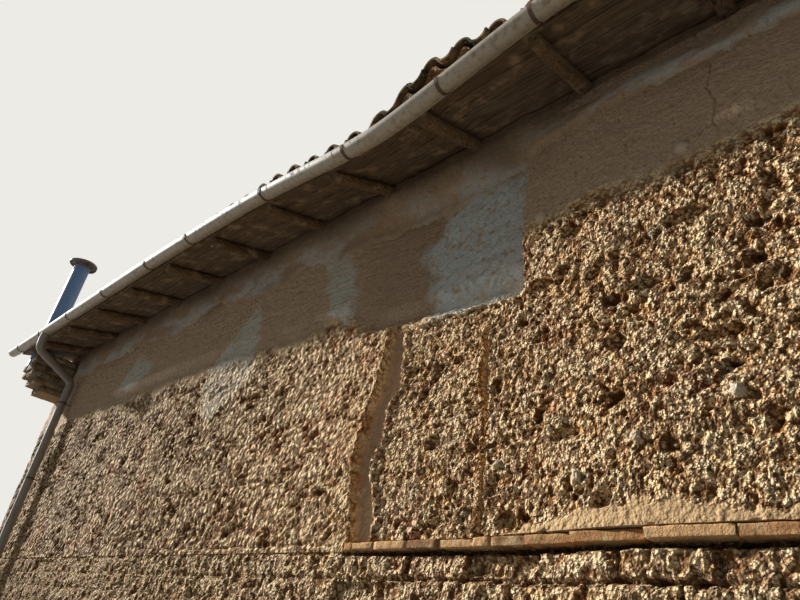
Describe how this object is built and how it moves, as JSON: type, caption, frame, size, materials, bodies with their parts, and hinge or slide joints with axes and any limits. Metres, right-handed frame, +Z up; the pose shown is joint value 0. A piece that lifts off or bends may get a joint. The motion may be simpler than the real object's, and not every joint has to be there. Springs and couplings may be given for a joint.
{
  "type": "adobe and rammed-earth house",
  "caption": "Single-storey earth-walled house with a barrel-tile gable roof, pole rafters, sagging eaves gutter with a downpipe, and a sheet-metal flue.",
  "frame": {"origin": "on the ground, under the middle of the whole object's box", "axes": "+X to the right along the eaves as seen from the front, +Y from the front to the back, +Z up"},
  "size_m": [11.758, 8.094, 6.63],
  "materials": {
    "rubble_stone": "rough fieldstone bedded in earth mortar",
    "adobe_blocks": "sun-dried blocks with weathered open joints",
    "fired_brick": "thin hand-made bricks, worn edges",
    "rammed_earth": "eroded rammed earth with clods and gravel standing out",
    "lime_render": "grey lime coat, rough and patchy",
    "earth_fill": "packed earth between the rafters",
    "roof_timber": "weathered poles and beams",
    "roof_boarding": "rough-sawn boards, dark with age",
    "joinery": "oiled planks, sun-bleached",
    "clay_tile": "hand-made barrel tiles with lichen",
    "gutter_metal": "pale coated sheet, dusty",
    "strap_iron": "dark strap with rust",
    "downpipe_plastic": "grey pipe, dusty",
    "flue_metal": "dull sheet with a seam",
    "rusted_sheet": "galvanised sheet with rust"
  },
  "bodies": {
    "root": {"stone_plinth": "rubble_stone", "door_step": "rubble_stone", "left_eave_corbel": "rubble_stone", "front_adobe_base": "adobe_blocks", "back_adobe_base": "adobe_blocks", "brick_string_courses": "fired_brick", "front_wall_far": "rammed_earth", "front_wall_middle": "rammed_earth", "front_wall_pier": "rammed_earth", "front_wall_near": "rammed_earth", "back_wall_window_side": "rammed_earth", "back_wall_door_side": "rammed_earth", "left_party_wall": "rammed_earth", "right_party_wall": "rammed_earth", "front_lime_patch": "lime_render", "front_eave_render": "lime_render", "back_eave_render": "lime_render", "front_eave_fill": "earth_fill", "back_eave_fill": "earth_fill", "wall_plates": "roof_timber", "ridge_log": "roof_timber", "roof_trusses": "roof_timber", "front_rafters": "roof_timber", "back_rafters": "roof_timber", "door_lintel": "roof_timber", "window_lintel": "roof_timber", "front_roof_boards": "roof_boarding", "back_roof_boards": "roof_boarding", "door_frame": "joinery", "door_leaf": "joinery", "window_frame": "joinery", "window_shutter": "joinery", "front_tiles": "clay_tile", "back_tiles": "clay_tile", "ridge_tiles": "clay_tile", "front_gutter": "gutter_metal", "back_gutter": "gutter_metal", "front_gutter_brackets": "strap_iron", "back_gutter_brackets": "strap_iron", "downpipe_clips": "strap_iron", "front_downpipe": "downpipe_plastic", "back_downpipe": "downpipe_plastic", "flue_pipe": "flue_metal", "flue_collar": "rusted_sheet", "flue_cap": "rusted_sheet"}
  },
  "joints": []
}
